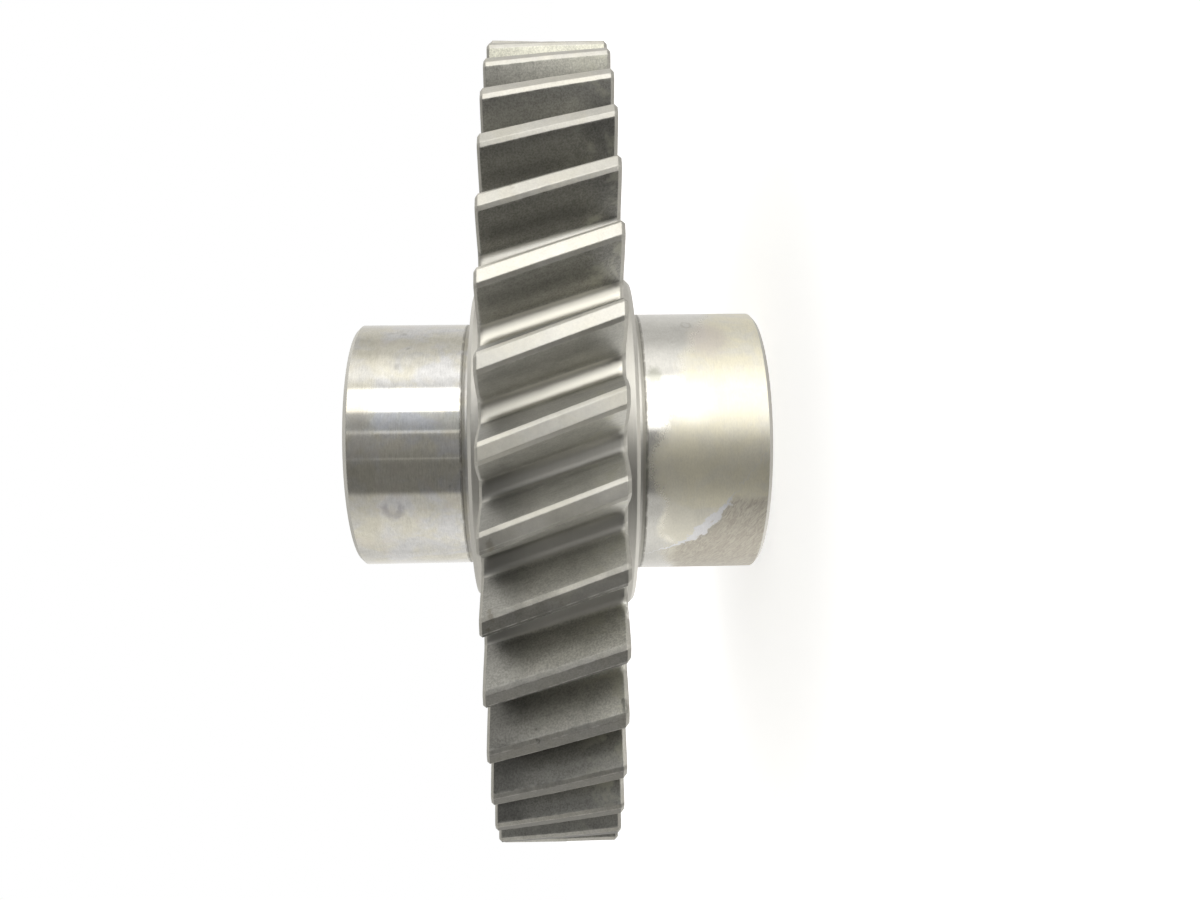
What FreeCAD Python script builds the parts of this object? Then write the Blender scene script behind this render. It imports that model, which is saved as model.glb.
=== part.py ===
import FreeCAD, Part
import math
import os

# A power take-off gear made from one forging: a helical toothed rim on a hollow hub.
# The hub carries a bearing journal on each side of the rim and a splined bore inside.
# The frame's origin is the centre of the hub's lower end face, and +Z runs up the bore.
# Lengths are in millimetres and angles in degrees.

# Toothed rim; a negative helix angle leans the teeth to the left
tooth_count = 40
normal_module = 5.0
pressure_angle = 20.0
helix_angle = -19.5
dedendum_modules = 1.25
flank_thinning = 0.1
root_fillet_radius = 1.9
smallest_root_land = 0.1
tip_chamfer_width = 0.9
tip_chamfer_height = 0.7
face_width = 30.0
lower_end_chamfer = 0.8
upper_end_chamfer = 0.6

# Hub outside: journals for two bearings and the shoulders that they seat against
lower_journal_diameter = 75.0
lower_journal_length = 36.0
upper_journal_diameter = 70.0
upper_journal_length = 33.5
shoulder_height = 10.0
shoulder_width = 7.0
shoulder_chamfer = 1.0
journal_chamfer = 1.1

# Grinding relief at each journal's root
relief_width = 2.5
relief_depth = 0.3
relief_slope = 15.0
relief_corner = 0.8

# Hub inside: a broached spline with straight sides between two plain pilot bores
spline_slots = 8
spline_bore_diameter = 42.0
spline_slot_depth = 3.0
spline_slot_width = 8.0
pilot_clearance = 1.0
pilot_length = 14.0
pilot_mouth_chamfer = 1.0

# How finely the curves are drawn
flank_points = 2
fillet_points = 4
helix_steps = 2

# How far a cutter runs past the ends of the hub
overrun = 5.0

# Heights worked out from the lengths above
lower_shoulder_z = lower_journal_length
rim_bottom_z = lower_shoulder_z + shoulder_width
rim_top_z = rim_bottom_z + face_width
upper_shoulder_z = rim_top_z + shoulder_width
hub_top_z = upper_shoulder_z + upper_journal_length
rim_middle_z = (rim_bottom_z + rim_top_z) / 2

# Gear circles in the plane square to the axis
helix_radians = math.radians(helix_angle)
transverse_module = normal_module / math.cos(helix_radians)
transverse_pressure = math.atan(math.tan(math.radians(pressure_angle)) / math.cos(helix_radians))
pitch_radius = tooth_count * transverse_module / 2
tip_radius = pitch_radius + normal_module
root_radius = pitch_radius - dedendum_modules * normal_module
base_radius = pitch_radius * math.cos(transverse_pressure)


def involute(angle):
    """Polar angle that an involute has turned through at a given pressure angle."""
    return math.tan(angle) - angle


# Half the angle that a tooth takes up on the base circle
base_half_angle = (
    math.pi / (2 * tooth_count)
    + involute(transverse_pressure)
    - flank_thinning / base_radius
)


def turned(point, angle):
    """A point of the plane turned about the axis by an angle in radians."""
    x, y = point
    return (
        x * math.cos(angle) - y * math.sin(angle),
        x * math.sin(angle) + y * math.cos(angle),
    )


def polar(radius, angle):
    """A point given by its radius and its angle in radians."""
    return (radius * math.cos(angle), radius * math.sin(angle))


def flank_point(roll, inset):
    """A point of the lower flank of the tooth on +X, set back square to it by inset."""
    tangent_length = base_radius * roll - inset
    x = base_radius * math.cos(roll) + tangent_length * math.sin(roll)
    y = base_radius * math.sin(roll) - tangent_length * math.cos(roll)
    return turned((x, y), -base_half_angle)


def fillet_roll(fillet):
    """Roll angle at which a root fillet of a given radius leaves the flank."""
    centre_length = math.sqrt((root_radius + fillet) ** 2 - base_radius ** 2)
    return (centre_length - fillet) / base_radius


def fillet_centre(fillet):
    """Centre of the root fillet that touches the lower flank and the root circle."""
    return flank_point(fillet_roll(fillet), -fillet)


def root_land(fillet):
    """Width that is left of the root circle between the two fillets of a gap."""
    x, y = fillet_centre(fillet)
    half_angle = math.pi / tooth_count + math.atan2(y, x)
    return 2 * root_radius * half_angle


def fitted_fillet():
    """The wanted root fillet, or the largest that the gap between two teeth has room for."""
    if root_land(root_fillet_radius) >= smallest_root_land:
        return root_fillet_radius
    too_small, too_large = 0, root_fillet_radius
    while too_large - too_small > root_fillet_radius / 1000:
        middle = (too_small + too_large) / 2
        if root_land(middle) >= smallest_root_land:
            too_small = middle
        else:
            too_large = middle
    return too_small


def mitred(corner, normal_a, normal_b, inset):
    """A corner moved so that both of its edges are set back by inset."""
    scale = inset / (1 + normal_a[0] * normal_b[0] + normal_a[1] * normal_b[1])
    x = corner[0] - scale * (normal_a[0] + normal_b[0])
    y = corner[1] - scale * (normal_a[1] + normal_b[1])
    return (x, y)


def mirrored(point):
    """The same point on the other side of the tooth on +X."""
    return (point[0], -point[1])


def half_tooth(inset):
    """Points of the lower side of the tooth on +X: root fillet, flank and tip chamfer."""
    fillet = fitted_fillet()
    centre = fillet_centre(fillet)
    centre_angle = math.atan2(centre[1], centre[0])
    start_roll = fillet_roll(fillet)

    corner_pressure = math.acos(base_radius / (tip_radius - tip_chamfer_height))
    corner_roll = math.tan(corner_pressure)
    flank_corner = flank_point(corner_roll, 0)
    flank_corner_angle = math.atan2(flank_corner[1], flank_corner[0])
    land_angle = flank_corner_angle + tip_chamfer_width / tip_radius
    land_corner = polar(tip_radius, land_angle)

    flank_normal = turned(polar(1, corner_roll - math.pi / 2), -base_half_angle)
    chamfer_x = land_corner[0] - flank_corner[0]
    chamfer_y = land_corner[1] - flank_corner[1]
    chamfer_length = math.hypot(chamfer_x, chamfer_y)
    chamfer_normal = (chamfer_y / chamfer_length, -chamfer_x / chamfer_length)
    land_normal = polar(1, land_angle)

    rolls = [
        start_roll + (corner_roll - start_roll) * step / flank_points
        for step in range(flank_points)
    ]
    flank = [flank_point(roll, inset) for roll in rolls]
    flank.append(mitred(flank_corner, flank_normal, chamfer_normal, inset))

    reach = fillet + inset
    start_direction = centre_angle + math.pi
    end_direction = math.atan2(flank[0][1] - centre[1], flank[0][0] - centre[0])
    sweep = (end_direction - start_direction + math.pi) % (2 * math.pi) - math.pi
    root_curve = []
    for step in range(fillet_points + 1):
        spoke = polar(reach, start_direction + sweep * step / fillet_points)
        root_curve.append((centre[0] + spoke[0], centre[1] + spoke[1]))

    land_start = mitred(land_corner, chamfer_normal, land_normal, inset)
    return root_curve, flank, land_start


def vector(point):
    """A point of the plane as a vector."""
    return FreeCAD.Vector(point[0], point[1], 0)


def line(start, end):
    """A straight edge."""
    return Part.LineSegment(vector(start), vector(end)).toShape()


def arc(start, middle, end):
    """A round edge through three points."""
    return Part.Arc(vector(start), vector(middle), vector(end)).toShape()


def curve(points):
    """A smooth edge through a list of points."""
    spline = Part.BSplineCurve()
    spline.interpolate([vector(point) for point in points])
    return spline.toShape()


def fillet_edges(points, inset):
    """A root fillet in short edges: round, but straight along the chamfer of an end face."""
    edges = []
    for start, middle, end in zip(points[0::2], points[1::2], points[2::2]):
        if inset > 0:
            edges.append(line(start, end))
        else:
            edges.append(arc(start, middle, end))
    return edges


def repeated(edges, count):
    """A closed wire made of the same edges set round the axis a number of times."""
    ring = []
    for index in range(count):
        for edge in edges:
            copy = edge.copy()
            copy.rotate(FreeCAD.Vector(), FreeCAD.Vector(0, 0, 1), 360 * index / count)
            ring.append(copy)
    return Part.Wire(ring)


def tooth_edges(inset):
    """Edges of the tooth on +X, and of the root that follows it, in order round the gear."""
    fillet, flank, land_start = half_tooth(inset)
    lower_side = fillet_edges(fillet, inset) + [curve(flank), line(flank[-1], land_start)]
    other_fillet = [mirrored(point) for point in reversed(fillet)]
    other_flank = [mirrored(point) for point in reversed(flank)]
    upper_side = [line(mirrored(land_start), other_flank[0]), curve(other_flank)]
    upper_side += fillet_edges(other_fillet, inset)
    tip_edge = line(land_start, mirrored(land_start))
    root_edge = line(other_fillet[-1], turned(fillet[0], 2 * math.pi / tooth_count))
    return lower_side + [tip_edge] + upper_side + [root_edge]


def gear_outline(inset):
    """The closed outline of all the teeth, square to the axis."""
    return repeated(tooth_edges(inset), tooth_count)


def section(outline, height):
    """The gear's outline at a height, turned as far as the helix has turned there."""
    turn = (height - rim_middle_z) * math.tan(helix_radians) / pitch_radius
    wire = outline.copy()
    wire.rotate(FreeCAD.Vector(), FreeCAD.Vector(0, 0, 1), math.degrees(turn))
    wire.translate(FreeCAD.Vector(0, 0, height))
    return wire


def toothed_rim():
    """The teeth on a solid disc, with a chamfer along the whole outline at both ends."""
    full = gear_outline(0)
    lower_edge_z = rim_bottom_z + lower_end_chamfer
    upper_edge_z = rim_top_z - upper_end_chamfer
    rise = (upper_edge_z - lower_edge_z) / helix_steps
    sections = [section(gear_outline(lower_end_chamfer), rim_bottom_z)]
    for step in range(helix_steps + 1):
        sections.append(section(full, lower_edge_z + rise * step))
    sections.append(section(gear_outline(upper_end_chamfer), rim_top_z))
    return Part.makeLoft(sections, True, True)


def revolved(points):
    """The solid that a closed outline of radius and height points makes about the axis."""
    corners = [FreeCAD.Vector(radius, 0, height) for radius, height in points]
    face = Part.Face(Part.makePolygon(corners + corners[:1]))
    return face.revolve(FreeCAD.Vector(), FreeCAD.Vector(0, 0, 1), 360)


def journal_outline(radius, end_z, shoulder_z):
    """Points of one journal from its end face to its shoulder, with chamfer and relief."""
    inward = math.copysign(1, shoulder_z - end_z)
    run_out = relief_depth / math.tan(math.radians(relief_slope))
    relief_radius = radius - relief_depth
    relief_z = shoulder_z - inward * relief_width
    return [
        (radius - journal_chamfer, end_z),
        (radius, end_z + inward * journal_chamfer),
        (radius, relief_z),
        (relief_radius, relief_z + inward * run_out),
        (relief_radius, shoulder_z - inward * relief_corner),
        (relief_radius + relief_corner, shoulder_z),
    ]


def shoulder_outline(radius, shoulder_z):
    """Points of one shoulder from its bearing face to the middle of the rim's disc."""
    inward = math.copysign(1, rim_middle_z - shoulder_z)
    return [
        (radius - shoulder_chamfer, shoulder_z),
        (radius, shoulder_z + inward * shoulder_chamfer),
        (radius, rim_middle_z),
    ]


def turned_hub():
    """The outside of the hub as one turned solid, with its middle inside the rim's disc."""
    lower_radius = lower_journal_diameter / 2
    upper_radius = upper_journal_diameter / 2
    lower_side = journal_outline(lower_radius, 0, lower_shoulder_z)
    lower_side += shoulder_outline(lower_radius + shoulder_height, lower_shoulder_z)
    upper_side = journal_outline(upper_radius, hub_top_z, upper_shoulder_z)
    upper_side += shoulder_outline(upper_radius + shoulder_height, upper_shoulder_z)
    points = [(0, 0)] + lower_side + upper_side[::-1] + [(0, hub_top_z)]
    return revolved(points)


def spline_broach():
    """The shape that the broach takes out: a round bar with straight-sided keys."""
    bore = spline_bore_diameter / 2
    root = bore + spline_slot_depth
    half_width = spline_slot_width / 2
    slot_angle = 2 * math.pi / spline_slots
    bore_corner = polar(bore, -math.asin(half_width / bore))
    root_corner = polar(root, -math.asin(half_width / root))
    slot = [
        line(bore_corner, root_corner),
        arc(root_corner, (root, 0), mirrored(root_corner)),
        line(mirrored(root_corner), mirrored(bore_corner)),
        arc(mirrored(bore_corner), polar(bore, slot_angle / 2), turned(bore_corner, slot_angle)),
    ]
    face = Part.Face(repeated(slot, spline_slots))
    face.translate(FreeCAD.Vector(0, 0, -overrun))
    return face.extrude(FreeCAD.Vector(0, 0, hub_top_z + 2 * overrun))


def pilot_cutter(end_z, inward):
    """One pilot bore with a chamfered mouth, ending in a cone that bevels the spline."""
    bore = spline_bore_diameter / 2
    radius = bore + spline_slot_depth + pilot_clearance
    mouth_radius = radius + pilot_mouth_chamfer
    cone_length = radius - bore
    pilot_end_z = end_z + inward * pilot_length
    return revolved([
        (0, end_z - inward * overrun),
        (mouth_radius, end_z - inward * overrun),
        (mouth_radius, end_z),
        (radius, end_z + inward * pilot_mouth_chamfer),
        (radius, pilot_end_z),
        (bore, pilot_end_z + inward * cone_length),
        (0, pilot_end_z + inward * cone_length),
    ])


def gear():
    """The whole gear as one solid."""
    body = toothed_rim().fuse(turned_hub())
    return body.cut([spline_broach(), pilot_cutter(0, 1), pilot_cutter(hub_top_z, -1)])


os.makedirs("parts", exist_ok=True)
shape = gear()
solid = shape.Solids[0]
solid.exportStep("parts/helical_gear.step")
print("solids", len(shape.Solids), "faces", len(solid.Faces), "valid", solid.isValid())
print("volume cm3", round(solid.Volume / 1000, 2), "height", hub_top_z, "tip diameter", 2 * tip_radius)
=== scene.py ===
"""The gear's finish, its studio and its camera. Metres, +Z up along the gear's axis, which stands upright."""
import math

import bpy
from mathutils import Matrix, Vector

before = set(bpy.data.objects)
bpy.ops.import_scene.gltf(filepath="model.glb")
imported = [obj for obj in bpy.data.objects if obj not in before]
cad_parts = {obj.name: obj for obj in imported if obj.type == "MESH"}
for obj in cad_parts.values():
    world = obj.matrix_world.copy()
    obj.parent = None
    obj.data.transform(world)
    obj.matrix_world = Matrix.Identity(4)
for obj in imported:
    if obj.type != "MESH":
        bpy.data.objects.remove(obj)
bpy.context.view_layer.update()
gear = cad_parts["helical_gear"]

# Sizes of the gear that its finish follows, in millimetres and degrees
BORE_RADIUS = 26.0
LOWER_JOURNAL_RADIUS = 37.5
LOWER_SHOULDER_Z = 36.0
UPPER_SHOULDER_Z = 80.0
RELIEF_WIDTH = 2.5
RIM_MIDDLE_Z = 58.0
ROOT_RADIUS = 99.8
PITCH_RADIUS = 106.1
TIP_CHAMFER_RADIUS = 110.4
TIP_RADIUS = 111.1
LAND_HALF_WIDTH = 1.4
CHAMFER_HALF_WIDTH = 2.3
TOOTH_COUNT = 40
HELIX_ANGLE = math.radians(-19.5)

# In metres: the radii to which edges are worn round and tooth roots look hollowed, and the depth of the bump
EDGE_RADIUS = 0.0004
ROOT_BLEND_RADIUS = 0.0016
BUMP_DEPTH = 0.00006

# Camera: its place, its axes in the picture, and its lens
CAMERA_PLACE = Vector((-0.00895, -0.30664, 0.05741))
PICTURE_RIGHT = Vector((-0.0153, -0.0422, -0.9990))
PICTURE_UP = Vector((0.9997, -0.0217, -0.0144))
LENS = 30.90
SENSOR = 36.0

# Light of the room by its angle about Z in degrees, from the camera's side (0) towards +X (90)
ROOM_LIGHT = (
    (-180, 0.96),
    (-150, 0.94),
    (-125, 0.88),
    (-100, 1.02),
    (-86, 0.98),
    (-74, 0.86),
    (-64, 0.68),
    (-50.5, 0.60),
    (-46, 0.225),
    (-20, 0.225),
    (-5, 0.33),
    (5, 0.37),
    (16, 0.54),
    (26, 0.84),
    (56, 1.12),
    (65, 1.50),
    (70, 1.46),
    (84, 1.16),
    (94, 0.84),
    (112, 0.70),
    (132, 0.84),
    (158, 0.84),
)

# The long softbox: its edges in degrees where it is near -Z and where it is near +Z, and its ends along Z
SOFTBOX_FROM = (8.0, 28.5)
SOFTBOX_TO = (58.0, 52.0)
SOFTBOX_TURN_OF_Z = (-0.08, 0.05)
SOFTBOX_ENDS = (-0.95, 0.24)
SOFTBOX_LIGHT = 2.4

# The room in steep directions, above and below
ROOM_END_LIGHT = 0.80

# Parts of the room that one end of the gear sees in another light: the end, first and last angle, factor
ROOM_PARTS = (
    ("lower", -82.0, 5.0, 0.20),
    ("lower", -165.0, -105.0, 1.50),
    ("upper", -180.0, 180.0, 0.80),
    ("upper", -12.0, 52.0, 0.60),
    ("upper", 72.0, 150.0, 1.75),
)

# Thin bright lines in the room: angle, half width, level
WINDOW_LINES = ((9.7, 1.1, 0.42), (-14.8, 0.6, 0.14))

# The light is warm, but for a window that is bluish: its first and last angle
WARM_LIGHT = (1.0, 0.985, 0.955, 1.0)
WINDOW_LIGHT = (0.93, 0.955, 1.0, 1.0)
WINDOW = (12.0, 27.0)

# The floor: half its side and its height in metres, its paper, and the light it gives off to the camera
FLOOR_HALF = 12.0
FLOOR_LEVEL = -0.0001
FLOOR_PAPER = (0.86, 0.86, 0.86, 1.0)
FLOOR_GLOW = 0.60
WHITE = (1.0, 1.0, 1.0, 1.0)

# Marks on the thicker journal: turn and height of the middle, and half sizes, in degrees and millimetres
PALE_TONGUE = ((13.0, 23.0), (8.0, 6.0))
ISLAND = ((-39.0, 25.0), (11.0, 5.0))
PINK_PATCH = ((47.0, 15.5), (11.0, 5.0))
DARK_SMUDGE = ((26.0, 31.0), (4.0, 2.0))
RING_OUTSIDE = ((58.0, 20.7), (2.6, 1.6))
RING_INSIDE = ((58.0, 20.7), (1.6, 0.9))

# The slanting stripe on it: its start, its slope in millimetres per degree, the turn below which it gets
# steeper and by how much, and its middle, half length and half width
STRIPE_START = (-28.0, 11.8)
STRIPE_SLOPE = -0.465
STRIPE_BEND = -48.0
STRIPE_BEND_SLOPE = -0.6
STRIPE_MIDDLE = -41.0
STRIPE_HALF_LENGTH = 18.0
STRIPE_HALF_WIDTH = 2.2

# Marks on the thinner journal, and its specks with their size in millimetres
TIDE_MARK = (104.2, 106.0)
END_STAIN = ((11.0, 109.5), (7.0, 3.0))
CURVE_OUTSIDE = ((-31.5, 101.0), (5.0, 2.9))
CURVE_INSIDE = ((-28.0, 101.0), (5.0, 1.7))
SPECKS = (((60.0, 99.5), 0.7), ((46.4, 97.4), 0.5), ((35.4, 100.1), 0.8), ((-19.8, 85.8), 0.4))

# The lands are painted paler between these turns, as light, and darker elsewhere, as shade
PAINTED_LIGHT_TURNS = (-6.0, 85.0)

# Small marks on the teeth: turn and height, size in millimetres, strength, colour
TOOTH_MARKS = (
    ((-12.0, 70.3), 0.8, 0.4, (0.16, 0.13, 0.08, 1.0)),
    ((-19.5, 70.6), 0.5, 0.4, (0.14, 0.12, 0.08, 1.0)),
    ((-20.7, 71.4), 0.5, 0.4, (0.14, 0.12, 0.08, 1.0)),
    ((-21.6, 43.2), 0.4, 0.9, (0.90, 0.90, 0.86, 1.0)),
    ((-32.0, 43.8), 0.6, 0.6, (0.10, 0.10, 0.09, 1.0)),
    ((-35.8, 62.1), 0.4, 0.7, (0.09, 0.09, 0.08, 1.0)),
    ((26.5, 66.0), 0.6, 0.4, (0.30, 0.28, 0.24, 1.0)),
    ((52.0, 47.0), 0.6, 0.4, (0.30, 0.28, 0.24, 1.0)),
)

# Colours of stains
FEATHER_DARK = (0.495, 0.450, 0.392, 1.0)
FEATHER_PALE = (0.760, 0.735, 0.640, 1.0)
PINK = (0.72, 0.62, 0.60, 1.0)
DARK_GREEN = (0.30, 0.31, 0.25, 1.0)
BROWN = (0.50, 0.455, 0.415, 1.0)
DARK_BROWN = (0.36, 0.31, 0.265, 1.0)
GREY = (0.31, 0.30, 0.32, 1.0)
PALE_GREY = (0.33, 0.32, 0.34, 1.0)
OIL = (0.57, 0.565, 0.47, 1.0)


class Nodes:
    """Short ways to add nodes to one tree."""

    def __init__(self, tree):
        tree.nodes.clear()
        self.tree = tree

    def feed(self, socket, value):
        """A socket takes another node's output, or a plain value."""
        if isinstance(value, bpy.types.NodeSocket):
            self.tree.links.new(value, socket)
        else:
            socket.default_value = value

    def add(self, kind, **values):
        """A node whose named sockets are fed."""
        node = self.tree.nodes.new(kind)
        for name, value in values.items():
            self.feed(node.inputs[name.replace("_", " ")], value)
        return node

    def math(self, operation, *values, clamp=False):
        node = self.tree.nodes.new("ShaderNodeMath")
        node.operation = operation
        node.use_clamp = clamp
        for socket, value in zip(node.inputs, values):
            self.feed(socket, value)
        return node.outputs[0]

    def sum(self, *values):
        total = values[0]
        for value in values[1:]:
            total = self.math("ADD", total, value)
        return total

    def less(self, value, other):
        """value with other taken away."""
        return self.math("SUBTRACT", value, other)

    def product(self, *values):
        total = values[0]
        for value in values[1:]:
            total = self.math("MULTIPLY", total, value)
        return total

    def inverse(self, value):
        """The rest of a mask."""
        return self.math("SUBTRACT", 1.0, value, clamp=True)

    def magnitude(self, value):
        return self.math("ABSOLUTE", value)

    def most(self, *values):
        total = values[0]
        for value in values[1:]:
            total = self.math("MAXIMUM", total, value)
        return total

    def ramp(self, value, low, high, start=0.0, end=1.0):
        """Smooth step of value from low to high, as start to end."""
        node = self.tree.nodes.new("ShaderNodeMapRange")
        node.interpolation_type = "SMOOTHSTEP"
        for socket, item in zip(node.inputs, (value, low, high, start, end)):
            self.feed(socket, item)
        return node.outputs[0]

    def fall(self, value, low, high):
        """1 below low, 0 above high."""
        return self.ramp(value, low, high, 1.0, 0.0)

    def band(self, value, low, high, soft):
        """1 between low and high, with soft edges outside."""
        return self.product(self.ramp(value, low - soft, low), self.fall(value, high, high + soft))

    def spot(self, u, v, centre, size, soft):
        """1 inside an ellipse in the plane of u and v, fading outwards."""
        across = self.math("DIVIDE", self.less(u, centre[0]), size[0])
        along = self.math("DIVIDE", self.less(v, centre[1]), size[1])
        reach = self.math("SQRT", self.sum(self.product(across, across), self.product(along, along)))
        return self.fall(reach, 1.0 - soft, 1.0 + soft)

    def noise(self, place, scale, detail, roughness, distortion=0.0):
        node = self.tree.nodes.new("ShaderNodeTexNoise")
        self.feed(node.inputs["Vector"], place)
        node.inputs["Scale"].default_value = scale
        node.inputs["Detail"].default_value = detail
        node.inputs["Roughness"].default_value = roughness
        node.inputs["Distortion"].default_value = distortion
        return node.outputs["Fac"]

    def mix(self, kind, sockets, output, factor, first, second):
        """A mix node, whose sockets for each kind of value share their names and so go by number."""
        node = self.tree.nodes.new("ShaderNodeMix")
        node.data_type = kind
        self.feed(node.inputs["Factor"], factor)
        for socket, value in zip(sockets, (first, second)):
            self.feed(node.inputs[socket], value)
        return node.outputs[output]

    def colour(self, factor, first, second):
        """Mix of two colours."""
        return self.mix("RGBA", (6, 7), 2, factor, first, second)

    def blend(self, factor, first, second):
        """Mix of two numbers."""
        return self.mix("FLOAT", (2, 3), 0, factor, first, second)

    def place(self, x, y, z):
        """A place made of three numbers."""
        node = self.tree.nodes.new("ShaderNodeCombineXYZ")
        for socket, value in zip(node.inputs, (x, y, z)):
            self.feed(socket, value)
        return node.outputs[0]


class Surface:
    """Where a point of the gear lies, in millimetres and degrees, and which face it belongs to."""

    def __init__(self, n):
        scale = n.tree.nodes.new("ShaderNodeVectorMath")
        scale.operation = "SCALE"
        n.feed(scale.inputs[0], n.add("ShaderNodeTexCoord").outputs["Object"])
        scale.inputs["Scale"].default_value = 1000.0
        self.place = scale.outputs[0]
        x, y, self.z = n.add("ShaderNodeSeparateXYZ", Vector=self.place).outputs
        normal = n.add("ShaderNodeNewGeometry").outputs["Normal"]
        nx, ny, nz = n.add("ShaderNodeSeparateXYZ", Vector=normal).outputs
        self.radius = n.math("SQRT", n.sum(n.product(x, x), n.product(y, y)))

        # How far the face looks outwards, sideways (up in the picture) and along the axis
        outward = n.math("DIVIDE", n.sum(n.product(nx, x), n.product(ny, y)), n.most(self.radius, 1.0))
        self.sideways = n.math("DIVIDE", n.less(n.product(ny, x), n.product(nx, y)), n.most(self.radius, 1.0))
        upright = n.magnitude(nz)
        self.turn = n.math("DEGREES", n.math("ARCTAN2", x, n.product(y, -1.0)))
        self.angle = n.math("RADIANS", self.turn)

        cylindrical = n.ramp(outward, 0.80, 0.95)
        outside = n.ramp(self.radius, BORE_RADIUS + 4.0, BORE_RADIUS + 5.0)
        below = n.fall(self.z, LOWER_SHOULDER_Z - 0.1, LOWER_SHOULDER_Z)
        above = n.ramp(self.z, UPPER_SHOULDER_Z, UPPER_SHOULDER_Z + 0.1)
        self.lower_journal = n.product(below, outside, cylindrical)
        self.upper_journal = n.product(above, outside, cylindrical)
        self.relief = n.most(
            n.band(self.z, LOWER_SHOULDER_Z - RELIEF_WIDTH, LOWER_SHOULDER_Z - 0.3, 0.2),
            n.band(self.z, UPPER_SHOULDER_Z + 0.3, UPPER_SHOULDER_Z + RELIEF_WIDTH, 0.2),
        )
        self.groove_corner = 0.0
        for corner in (LOWER_SHOULDER_Z - RELIEF_WIDTH, LOWER_SHOULDER_Z - 0.25,
                       UPPER_SHOULDER_Z + 0.25, UPPER_SHOULDER_Z + RELIEF_WIDTH):
            line = n.band(self.z, corner - 0.30, corner + 0.30, 0.15)
            self.groove_corner = n.most(self.groove_corner, line)
        self.bore = n.fall(self.radius, BORE_RADIUS - 0.3, BORE_RADIUS)

        self.teeth = n.ramp(self.radius, ROOT_RADIUS - 0.8, ROOT_RADIUS - 0.2)
        level = n.fall(upright, 0.45, 0.55)
        low = n.fall(self.radius, ROOT_RADIUS + 1.5, ROOT_RADIUS + 3.0)
        self.near_root = n.product(self.teeth, low, level)
        self.end_chamfer = n.product(self.teeth, n.inverse(level), n.fall(upright, 0.88, 0.95))
        self.flank = n.product(self.teeth, n.fall(outward, 0.55, 0.75), level)
        high = n.ramp(self.radius, TIP_CHAMFER_RADIUS - 1.0, TIP_CHAMFER_RADIUS - 0.4)
        self.land = n.product(high, n.ramp(outward, 0.60, 0.75), level)
        lowest = n.fall(self.radius, ROOT_RADIUS + 0.1, ROOT_RADIUS + 0.8)
        self.root = n.product(self.teeth, lowest, level)

        # Place across the teeth: its angle with the helix turned back, the tooth's number, the millimetres
        # from that tooth's middle and, upwards in the picture, those from the middle of the space beside it
        lead = math.tan(HELIX_ANGLE) / PITCH_RADIUS
        self.across_teeth = n.sum(self.angle, n.product(n.less(self.z, RIM_MIDDLE_Z), -lead))
        pitches = n.sum(n.product(self.across_teeth, TOOTH_COUNT / math.tau), TOOTH_COUNT + 0.5)
        self.tooth_number = n.math("FLOOR", pitches)
        off_middle = n.less(n.less(pitches, self.tooth_number), 0.5)
        pitch_length = math.tau * TIP_RADIUS / TOOTH_COUNT
        self.from_tooth_middle = n.product(n.magnitude(off_middle), pitch_length)
        self.from_space_middle = n.product(n.less(n.math("FRACT", n.sum(pitches, 0.5)), 0.5), pitch_length)


def steel_colour(value, warmth, redness=0.25):
    """A steel colour: warmth takes blue away and, times redness, adds red."""
    return (value * (1 + redness * warmth), value, value * (1 - warmth), 1.0)


def tone(n, value, warmth, redness=0.25):
    """A steel colour whose brightness is worked out by nodes."""
    node = n.tree.nodes.new("ShaderNodeVectorMath")
    node.operation = "SCALE"
    node.inputs[0].default_value = steel_colour(1.0, warmth, redness)[:3]
    n.feed(node.inputs["Scale"], value)
    return node.outputs[0]


def varied(n, middle, *parts):
    """A number that varies about its middle: each part is a noise and how much it counts."""
    total = middle
    for noise, amount in parts:
        total = n.sum(total, n.product(n.less(noise, 0.5), amount))
    return total


class Textures:
    """The noises that the finishes share. Features are given in millimetres."""

    def __init__(self, n, s):
        turned = n.product(s.angle, LOWER_JOURNAL_RADIUS)
        ring_place = n.place(n.product(turned, 0.01), n.product(s.radius, 0.06), n.product(s.z, 0.06))
        self.rings = n.noise(ring_place, 90.0, 4.0, 0.65)
        self.bands = n.noise(n.place(n.product(s.angle, 0.8), s.radius, s.z), 0.9, 4.0, 0.7)
        self.strokes = n.noise(n.place(n.product(turned, 0.13), 0.0, s.z), 2.4, 3.0, 0.6)
        speckle_place = n.place(n.product(turned, 0.5), n.product(s.radius, 0.5), s.z)
        self.speckle = n.noise(speckle_place, 2.6, 3.0, 0.6)
        self.grain = n.noise(s.place, 2.4, 3.0, 0.65)
        self.coarse = n.noise(s.place, 0.42, 4.0, 0.6)
        self.mottle = n.noise(s.place, 0.16, 5.0, 0.65, 0.6)
        self.cloud = n.noise(s.place, 0.045, 4.0, 0.6, 0.4)
        self.tint = n.ramp(n.noise(s.place, 0.11, 4.0, 0.6, 0.5), 0.38, 0.62)
        across = n.product(s.across_teeth, 30.0)
        streak_place = n.place(across, n.product(s.radius, 0.35), n.product(s.z, 0.03))
        self.streak = n.noise(streak_place, 3.0, 4.0, 0.6)


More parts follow.
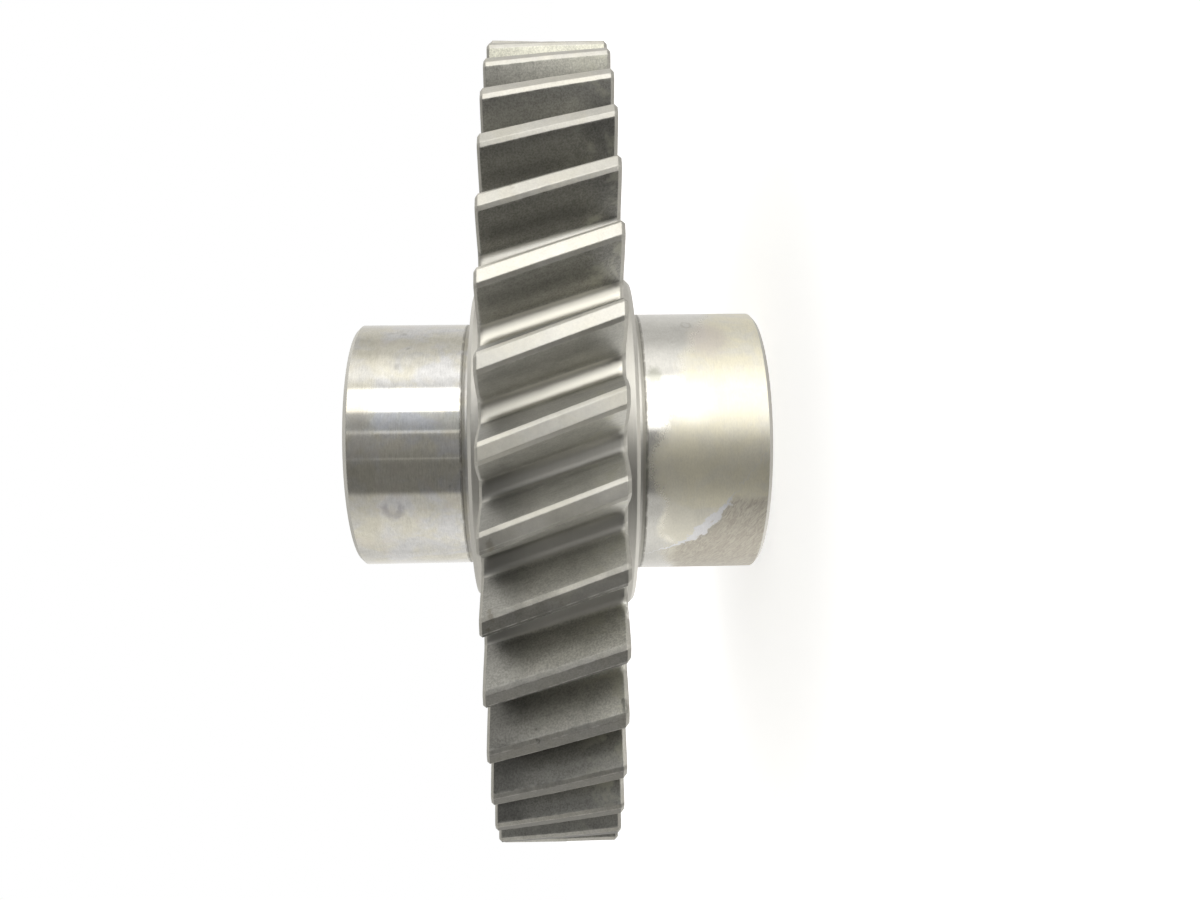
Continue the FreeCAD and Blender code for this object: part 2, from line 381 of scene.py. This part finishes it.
def lower_journal_finish(n, s, t):
    """Satin warm journal: a bright strip by the shoulder, and a feathered patch, a stripe and an island."""
    drift = n.product(n.less(n.noise(s.place, 0.14, 2.0, 0.5), 0.5), 9.0)
    wobble = n.product(n.less(n.noise(s.place, 0.40, 4.0, 0.6), 0.5), 4.0)
    z = n.sum(s.z, wobble)
    turn = n.sum(s.turn, n.product(wobble, 1.6))

    # The bright strip ends along two slanting lines, with a soft tongue between them
    upper_line = n.sum(30.0, n.product(s.turn, -0.222))
    lower_line = n.sum(33.1, n.product(s.turn, 0.12))
    from_line = n.less(n.sum(s.z, drift), n.math("MINIMUM", upper_line, lower_line))
    bright = n.ramp(n.sum(from_line, n.product(n.less(t.speckle, 0.5), 5.0)), -3.4, 3.0)
    bright = n.most(bright, n.product(n.spot(turn, z, *PALE_TONGUE, 0.8), 0.6))

    # A lavender stripe slants across the lower side, and the patch below it is feathered
    start_turn, start_z = STRIPE_START
    steeper = n.product(n.math("MINIMUM", n.less(turn, STRIPE_BEND), 0.0), STRIPE_BEND_SLOPE)
    stripe_z = n.sum(start_z, n.product(n.less(turn, start_turn), STRIPE_SLOPE), steeper)
    from_stripe = n.less(z, stripe_z)
    lower_side = n.fall(turn, -29.0, -24.0)
    to_tips = n.less(1.0, n.magnitude(n.product(n.less(s.turn, STRIPE_MIDDLE), 1 / STRIPE_HALF_LENGTH)))
    bulge = n.most(to_tips, 0.0)
    half_width = n.product(bulge, STRIPE_HALF_WIDTH)
    stripe = n.fall(n.less(n.magnitude(from_stripe), half_width), -0.5, 0.4)
    stripe_edge = n.product(n.band(n.sum(from_stripe, half_width), -0.9, -0.2, 0.3), lower_side, bulge)
    feathered = n.product(n.fall(from_stripe, -1.5, 0.5), lower_side, n.inverse(bright))
    island = n.product(n.spot(turn, z, *ISLAND, 0.2), n.inverse(feathered))
    # Painted light: the front of the journal between these turns is painted a little paler and more speckled
    journal_front_painted_light = n.product(n.band(z, 5.0, 33.0, 3.0), n.band(turn, -27.0, 2.0, 4.0), n.inverse(bright))

    slanted = n.place(
        n.sum(n.product(s.angle, LOWER_JOURNAL_RADIUS * 0.45), n.product(s.z, 0.90)),
        n.sum(n.product(s.angle, LOWER_JOURNAL_RADIUS * 0.22), n.product(s.z, -0.11)),
        0.0,
    )
    feathers = n.ramp(n.noise(slanted, 1.15, 5.0, 0.68, 1.5), 0.32, 0.68)

    value = varied(n, 0.80, (t.strokes, 0.20), (t.speckle, 0.16), (t.mottle, 0.14))
    colour = n.colour(t.tint, tone(n, value, 0.185), tone(n, n.product(value, 0.97), 0.115))
    bright_value = varied(n, 0.62, (t.speckle, 0.12), (t.mottle, 0.22), (t.strokes, 0.08))
    colour = n.colour(bright, colour, tone(n, bright_value, 0.055))
    journal_front_painted_value = varied(n, 0.84, (t.speckle, 0.22), (t.mottle, 0.16))
    colour = n.colour(n.product(journal_front_painted_light, 0.5), colour, tone(n, journal_front_painted_value, 0.18))
    colour = n.colour(feathered, colour, n.colour(feathers, FEATHER_DARK, FEATHER_PALE))
    island_value = varied(n, 0.84, (t.speckle, 0.16), (t.mottle, 0.16))
    colour = n.colour(n.product(island, 0.85), colour, tone(n, island_value, 0.12))
    colour = n.colour(n.product(stripe, 0.85), colour, tone(n, varied(n, 0.80, (t.speckle, 0.20)), -0.045))
    colour = n.colour(n.product(stripe_edge, 0.35), colour, steel_colour(0.42, 0.10))

    pink = n.spot(turn, z, *PINK_PATCH, 0.5)
    colour = n.colour(n.product(pink, 0.55), colour, tone(n, n.product(value, 0.84), 0.10))
    colour = n.colour(n.product(pink, 0.30), colour, PINK)
    smudge = n.spot(turn, z, *DARK_SMUDGE, 0.6)
    colour = n.colour(n.product(smudge, 0.55), colour, DARK_GREEN)
    ring = n.less(n.spot(turn, s.z, *RING_OUTSIDE, 0.25), n.spot(turn, s.z, *RING_INSIDE, 0.3))
    colour = n.colour(n.product(n.most(ring, 0.0), 0.3), colour, steel_colour(0.36, 0.12))

    rough = varied(n, 0.38, (t.strokes, 0.12), (t.mottle, 0.08))
    rough = n.blend(bright, rough, varied(n, 0.15, (t.mottle, 0.14)))
    rough = n.blend(feathered, rough, n.blend(feathers, 0.36, 0.52))
    rough = n.blend(stripe, rough, 0.30)
    metal = n.blend(bright, n.blend(stripe, 0.70, 0.80), 0.95)
    height = n.sum(n.product(t.strokes, n.inverse(bright), 0.35), n.product(feathers, feathered, 0.9))
    return colour, rough, metal, height


def upper_journal_finish(n, s, t):
    """Bright ground journal: nearly a mirror, mottled, with a tide mark, a curved smudge and a few specks."""
    wobble = n.product(n.less(n.noise(s.place, 0.5, 4.0, 0.6), 0.5), 3.0)
    z = n.sum(s.z, wobble)
    turn = n.sum(s.turn, n.product(wobble, 2.0))

    value = varied(n, 0.610, (t.mottle, 0.28), (t.coarse, 0.18), (t.strokes, 0.22), (t.speckle, 0.18))
    colour = n.colour(t.tint, tone(n, value, 0.125), tone(n, value, 0.005))
    browned = n.product(n.ramp(t.mottle, 0.48, 0.66), n.inverse(n.ramp(t.cloud, 0.42, 0.62)))
    colour = n.colour(n.product(browned, 0.35), colour, BROWN)
    end_stain = n.spot(turn, z, *END_STAIN, 0.6)
    colour = n.colour(n.product(end_stain, 0.45), colour, DARK_BROWN)
    tide = n.ramp(z, *TIDE_MARK)
    colour = n.colour(n.product(tide, 0.20), colour, tone(n, value, 0.22))
    colour = n.colour(n.product(tide, 0.12), colour, steel_colour(0.36, 0.10))

    inside = n.spot(turn, z, *CURVE_INSIDE, 0.30)
    curve = n.most(n.less(n.spot(turn, z, *CURVE_OUTSIDE, 0.30), inside), 0.0)
    colour = n.colour(n.product(curve, 0.50), colour, GREY)
    colour = n.colour(n.product(inside, 0.08), colour, PALE_GREY)
    for middle, size in SPECKS:
        speck = n.spot(turn, z, middle, (size * 1.9, size), 0.9)
        colour = n.colour(n.product(speck, 0.45), colour, steel_colour(0.30, 0.06))

    rough = n.most(varied(n, 0.075, (t.mottle, 0.10), (t.strokes, 0.05)), 0.04)
    rough = n.sum(rough, n.product(tide, 0.04))
    return colour, rough


def flank_finish(n, s, t, grain, facing_up, facing_down, upper_end_painted_shade):
    """Blasted flanks: painted shade where they face down, and towards the root where they face up."""
    # Painted shade on flanks that face down, between these turns
    down_facing_painted_shade = n.product(facing_down, n.band(s.turn, 14.0, 47.0, 5.0), 0.20)
    deeper_down_facing_painted_shade = n.product(facing_down, n.band(s.turn, 20.0, 36.0, 4.0), 0.20)
    # Painted light: the topmost flanks that face down are paler and warmer, and the flanks in front are paler
    topmost_painted_light = n.product(facing_down, n.ramp(s.turn, 48.0, 60.0))
    flank_front_painted_light = n.product(n.band(s.turn, -30.0, 1.5, 5.0), 0.36)
    # Painted shade on the lowest teeth, and towards the root on flanks that face up
    lowest = n.product(n.inverse(facing_down), n.fall(s.turn, -44.0, -34.0), 0.28)
    flank_root_painted_shade = n.product(facing_up, n.fall(s.turn, -18.0, -10.0),
                       n.ramp(s.radius, ROOT_RADIUS + 2.5, PITCH_RADIUS + 1.5, 0.24, -0.03))
    deeper_flank_root_painted_shade = n.product(facing_up, n.fall(s.turn, -28.0, -20.0),
                         n.fall(s.radius, PITCH_RADIUS, PITCH_RADIUS + 2.0), 0.17)
    # Painted light towards the lower end and painted shade towards the upper end, on flanks that face up
    lower_end_painted_light = n.product(n.fall(s.z, RIM_MIDDLE_Z - 13.0, RIM_MIDDLE_Z - 5.0), 0.20)
    end_painted_light_and_shade = n.product(facing_up, n.band(s.turn, -56.0, 2.0, 8.0), n.less(lower_end_painted_light, upper_end_painted_shade))

    value = varied(n, 0.43, (t.coarse, 0.14), (t.streak, -0.12), (grain, 0.17), (t.mottle, 0.16))
    paler = n.sum(1.0, n.product(topmost_painted_light, 0.36), flank_front_painted_light)
    darker = n.sum(down_facing_painted_shade, deeper_down_facing_painted_shade, lowest, flank_root_painted_shade, deeper_flank_root_painted_shade)
    value = n.product(value, n.less(paler, darker), n.sum(1.0, end_painted_light_and_shade))
    colour = n.colour(topmost_painted_light, tone(n, value, 0.075, 0.16), tone(n, value, 0.14, 0.05))
    lower_end = n.fall(s.z, RIM_MIDDLE_Z - 11.0, RIM_MIDDLE_Z - 3.0)
    return n.colour(n.product(lower_end, n.ramp(t.mottle, 0.48, 0.62), 0.45), colour, OIL)


def land_finish(n, s, t, grain, facing_up, facing_down):
    """The teeth's lands and the chamfers beside them: painted paler as light on one side of the gear, and
    darker as shade on the other.
    """
    number = n.tree.nodes.new("ShaderNodeTexWhiteNoise")
    number.noise_dimensions = "1D"
    n.feed(number.inputs["W"], s.tooth_number)
    own_tone = number.outputs["Value"]

    # Painted light and shade: the lands are paler between these turns and darker elsewhere, each level also
    # stepped by turn
    ragged_turn = n.sum(s.turn, n.product(n.less(t.cloud, 0.5), 16.0))
    painted_light_side = n.band(ragged_turn, *PAINTED_LIGHT_TURNS, 13.0)
    shaded_land_value = varied(n, 0.205, (t.coarse, 0.10), (grain, 0.05), (own_tone, 0.04))
    shaded_land_value = n.product(shaded_land_value, n.ramp(s.turn, -40.0, -25.0, 1.0, 1.18))
    bright = varied(n, 0.64, (t.coarse, 0.18), (grain, 0.07), (own_tone, 0.05), (t.mottle, 0.12))
    bright = n.product(bright, n.ramp(s.turn, 16.0, 28.0, 1.12, 0.91))
    value = n.blend(painted_light_side, shaded_land_value, bright)

    # Painted shade on chamfers that face down, and painted light on lands that face up on the lower side
    shaded = n.sum(n.product(n.fall(s.turn, 10.0, 26.0), 0.20), n.product(n.fall(s.turn, -8.0, -2.0), 0.18))
    shaded = n.product(shaded, facing_down)
    lit_by = n.sum(0.85, n.ramp(s.turn, -54.0, -46.0, 0.6, 0.0))
    lit = n.product(facing_up, n.fall(s.turn, -23.0, -10.0), lit_by)
    value = n.product(value, n.less(1.0, shaded), n.sum(1.0, lit))
    return n.colour(n.product(t.tint, 0.7), tone(n, value, 0.075), tone(n, value, 0.115))


def tooth_finish(n, s, t, colour, rough):
    """Hobbed and blasted teeth: matt flanks, roots with a painted highlight or painted shade, lands, worn
    edges and small marks.
    """
    facing_down = n.fall(s.sideways, -0.45, -0.25)
    facing_up = n.ramp(s.sideways, 0.25, 0.45)
    front = n.fall(n.magnitude(n.sum(s.turn, 2.0)), 6.0, 22.0)
    smoother = n.product(front, 0.6)
    grain = n.sum(0.5, n.product(n.less(n.ramp(t.grain, 0.30, 0.70), 0.5), n.less(1.0, smoother)))
    # Painted shade towards the upper end of the rim, on flanks and roots
    upper_end_painted_shade = n.product(n.ramp(s.z, RIM_MIDDLE_Z + 1.0, RIM_MIDDLE_Z + 13.0), 0.50)

    colour = n.colour(s.flank, colour, flank_finish(n, s, t, grain, facing_up, facing_down, upper_end_painted_shade))

    # Roots get a painted highlight at their lower side in front, and painted shade below, deepest towards the
    # upper end
    root_painted_highlight = n.product(s.root, n.band(s.turn, 3.0, 18.0, 4.0))
    upper_side = n.ramp(s.from_space_middle, -1.2, 1.6)
    colour = n.colour(n.product(root_painted_highlight, 0.85), colour, steel_colour(0.90, 0.11))
    colour = n.colour(n.product(root_painted_highlight, upper_side, 0.75), colour, steel_colour(0.30, 0.09))
    root_painted_shade = n.product(s.root, n.band(s.turn, -60.0, -4.0, 5.0))
    colour = n.colour(n.product(root_painted_shade, 0.6), colour, steel_colour(0.36, 0.08))
    colour = n.colour(n.product(root_painted_shade, upper_end_painted_shade), colour, steel_colour(0.12, 0.08))

    colour = n.colour(s.land, colour, land_finish(n, s, t, grain, facing_up, facing_down))
    end_chamfer = tone(n, varied(n, 0.44, (t.coarse, 0.16), (grain, 0.06)), 0.085)
    colour = n.colour(s.end_chamfer, colour, end_chamfer)

    # The edges of lands and chamfers are rubbed bright here and there
    rubbed = n.ramp(t.coarse, 0.42, 0.60)
    land_edge = n.fall(n.magnitude(n.less(s.from_tooth_middle, LAND_HALF_WIDTH)), 0.05, 0.22)
    chamfer_edge = n.fall(n.magnitude(n.less(s.from_tooth_middle, CHAMFER_HALF_WIDTH)), 0.05, 0.25)
    at_tip = n.ramp(s.radius, TIP_CHAMFER_RADIUS - 0.6, TIP_CHAMFER_RADIUS)
    edges = n.product(n.most(land_edge, chamfer_edge), rubbed, at_tip)
    colour = n.colour(n.product(edges, 0.35), colour, steel_colour(0.66, 0.06))

    wander = n.product(n.less(t.coarse, 0.5), 3.0)
    for middle, size, strength, mark in TOOTH_MARKS:
        spot = n.spot(n.sum(s.turn, wander), n.sum(s.z, wander), middle, (size * 0.6, size), 0.6)
        colour = n.colour(n.product(spot, s.teeth, strength), colour, mark)

    rough = n.blend(s.flank, rough, varied(n, 0.47, (t.coarse, 0.12)))
    rough = n.blend(root_painted_highlight, rough, 0.38)
    rough = n.blend(s.land, rough, varied(n, 0.48, (t.coarse, 0.10)))
    rough = n.blend(s.end_chamfer, rough, 0.55)
    metal = n.blend(s.flank, 0.95, n.blend(front, 0.97, 0.74))
    height = n.sum(
        n.product(t.grain, s.flank, n.less(1.1, smoother)),
        n.product(t.grain, s.land, 0.5),
        n.product(t.streak, s.flank, 0.5),
        n.product(t.coarse, s.teeth, 0.9),
    )
    return colour, rough, metal, height


def steel():
    """Machined steel: turned discs, broached bore, blasted teeth and ground journals."""
    material = bpy.data.materials.new("machined_steel")
    material.use_nodes = True
    n = Nodes(material.node_tree)
    s = Surface(n)
    t = Textures(n, s)

    # The turned discs and shoulders, and the broached bore
    disc_value = varied(n, 0.55, (t.cloud, 0.14), (t.coarse, 0.06), (t.bands, 0.16), (t.rings, 0.10))
    rough = varied(n, 0.40, (t.cloud, 0.12), (t.bands, 0.20))
    bore_place = n.place(n.product(s.angle, 25.0), n.product(s.radius, 0.5), n.product(s.z, 0.02))
    broached = n.noise(bore_place, 3.0, 3.0, 0.6)
    bore_value = varied(n, 0.50, (broached, 0.22), (t.cloud, 0.10))
    colour = n.colour(s.bore, tone(n, disc_value, 0.07), tone(n, bore_value, 0.07))
    rough = n.blend(s.bore, rough, 0.34)

    colour, rough, metal, tooth_height = tooth_finish(n, s, t, colour, rough)
    lower_colour, lower_rough, lower_metal, lower_height = lower_journal_finish(n, s, t)
    upper_colour, upper_rough = upper_journal_finish(n, s, t)
    colour = n.colour(s.lower_journal, colour, lower_colour)
    colour = n.colour(s.upper_journal, colour, upper_colour)
    rough = n.blend(s.lower_journal, rough, lower_rough)
    rough = n.blend(s.upper_journal, rough, upper_rough)
    metal = n.blend(s.lower_journal, metal, lower_metal)
    metal = n.blend(s.upper_journal, metal, 1.0)

    # The reliefs are duller than the journals, with painted shade in their corners, broken up by noise
    journals = n.sum(s.lower_journal, s.upper_journal)
    in_relief = n.product(s.relief, journals)
    colour = n.colour(n.product(in_relief, 0.25), colour, steel_colour(0.40, 0.10))
    rough = n.blend(in_relief, rough, 0.38)
    corner_painted_shade = n.product(s.groove_corner, journals, n.ramp(t.coarse, 0.30, 0.55))
    colour = n.colour(n.product(corner_painted_shade, 0.55), colour, steel_colour(0.16, 0.12))

    turned = n.product(n.inverse(journals), n.inverse(s.teeth), n.inverse(s.bore))
    height = n.sum(
        n.product(t.rings, journals, 0.05),
        n.product(t.rings, turned, 1.2),
        n.product(t.bands, turned, 2.0),
        n.product(broached, s.bore),
        n.product(lower_height, s.lower_journal),
        tooth_height,
    )
    broken_edge = n.add("ShaderNodeBevel", Radius=n.blend(s.near_root, EDGE_RADIUS, ROOT_BLEND_RADIUS))
    broken_edge.samples = 4
    bump = n.add("ShaderNodeBump", Strength=0.35, Distance=BUMP_DEPTH, Height=height,
                 Normal=broken_edge.outputs[0])
    shader = n.add("ShaderNodeBsdfPrincipled", Base_Color=colour, Metallic=metal, Roughness=rough,
                   Normal=bump.outputs["Normal"])
    n.add("ShaderNodeOutputMaterial", Surface=shader.outputs[0])
    return material


def studio_world():
    """White where the camera looks. The steel sees a soft studio that changes with the angle about Z:
    a dark room in front, a pale backdrop behind, and a long softbox in front and towards +X.
    """
    world = bpy.data.worlds.new("studio")
    bpy.context.scene.world = world
    world.use_nodes = True
    n = Nodes(world.node_tree)
    direction = n.add("ShaderNodeTexCoord").outputs["Generated"]
    x, y, z = n.add("ShaderNodeSeparateXYZ", Vector=direction).outputs
    turn = n.math("DEGREES", n.math("ARCTAN2", x, n.product(y, -1.0)))

    # The room round the axis, with its lines, its parts that only one end sees, and its two ends
    stops = n.add("ShaderNodeValToRGB", Fac=n.math("DIVIDE", n.sum(turn, 180.0), 360.0))
    elements = stops.color_ramp.elements
    while len(elements) < len(ROOM_LIGHT):
        elements.new(0.5)
    for element, (degrees, level) in zip(elements, ROOM_LIGHT):
        element.position = (degrees + 180.0) / 360.0
        element.color = (level / 2, level / 2, level / 2, 1.0)
    room = n.product(stops.outputs["Color"], 2.0)
    for centre, half_width, level in WINDOW_LINES:
        line = n.band(turn, centre - half_width, centre + half_width, half_width / 2)
        room = n.sum(room, n.product(line, level))
    ends = {"lower": n.fall(z, -0.40, -0.15), "upper": n.ramp(z, 0.20, 0.50)}
    for end, first, last, factor in ROOM_PARTS:
        part = n.product(ends[end], n.band(turn, first, last, 10.0))
        room = n.product(room, n.blend(part, 1.0, factor))
    room = n.blend(n.ramp(n.magnitude(z), 0.75, 0.95), room, ROOM_END_LIGHT)

    from_first = n.less(turn, n.ramp(z, *SOFTBOX_TURN_OF_Z, *SOFTBOX_FROM))
    from_last = n.less(turn, n.ramp(z, *SOFTBOX_TURN_OF_Z, *SOFTBOX_TO))
    across = n.product(n.ramp(from_first, -0.8, 0.8), n.fall(from_last, -2.0, 1.5))
    along = n.band(z, *SOFTBOX_ENDS, 0.15)
    level = n.blend(n.product(across, along), room, SOFTBOX_LIGHT)

    window = n.product(n.band(turn, *WINDOW, 3.0), n.ramp(z, -0.10, 0.05))
    tinted = n.add("ShaderNodeBackground", Color=n.colour(window, WARM_LIGHT, WINDOW_LIGHT), Strength=level)
    white = n.add("ShaderNodeBackground", Color=WHITE, Strength=1.0)
    seen = n.tree.nodes.new("ShaderNodeMixShader")
    n.feed(seen.inputs[0], n.add("ShaderNodeLightPath").outputs["Is Camera Ray"])
    n.feed(seen.inputs[1], tinted.outputs[0])
    n.feed(seen.inputs[2], white.outputs[0])
    n.add("ShaderNodeOutputWorld", Surface=seen.outputs[0])


def floor():
    """The pale floor. It keeps the shadow, and the camera sees it nearly white."""
    sides = ((-1, -1), (1, -1), (1, 1), (-1, 1))
    corners = [(FLOOR_HALF * x, FLOOR_HALF * y, FLOOR_LEVEL) for x, y in sides]
    mesh = bpy.data.meshes.new("studio_floor")
    mesh.from_pydata(corners, [], [(0, 1, 2, 3)])
    plane = bpy.data.objects.new("studio_floor", mesh)
    bpy.context.scene.collection.objects.link(plane)
    plane.visible_glossy = False

    material = bpy.data.materials.new("floor_paper")
    material.use_nodes = True
    n = Nodes(material.node_tree)
    paper = n.add("ShaderNodeBsdfDiffuse", Color=FLOOR_PAPER)
    seen = n.add("ShaderNodeLightPath").outputs["Is Camera Ray"]
    glow = n.add("ShaderNodeEmission", Color=WHITE, Strength=n.product(seen, FLOOR_GLOW))
    both = n.tree.nodes.new("ShaderNodeAddShader")
    n.feed(both.inputs[0], paper.outputs[0])
    n.feed(both.inputs[1], glow.outputs[0])
    n.add("ShaderNodeOutputMaterial", Surface=both.outputs[0])
    mesh.materials.append(material)


def camera():
    """The photograph's view: the gear's axis lies level in the picture, with +Z to the left."""
    data = bpy.data.cameras.new("camera")
    data.sensor_width = SENSOR
    data.lens = LENS
    data.clip_start = 0.01
    data.clip_end = 100.0
    eye = bpy.data.objects.new("camera", data)
    bpy.context.scene.collection.objects.link(eye)
    right = PICTURE_RIGHT.normalized()
    back = right.cross(PICTURE_UP).normalized()
    up = back.cross(right)
    turn = Matrix((right, up, back)).transposed()
    eye.matrix_world = Matrix.Translation(CAMERA_PLACE) @ turn.to_4x4()
    bpy.context.scene.camera = eye


finish = steel()
for slot in gear.material_slots:
    slot.material = finish

studio_world()
floor()
camera()
bpy.context.scene.view_settings.view_transform = "Standard"
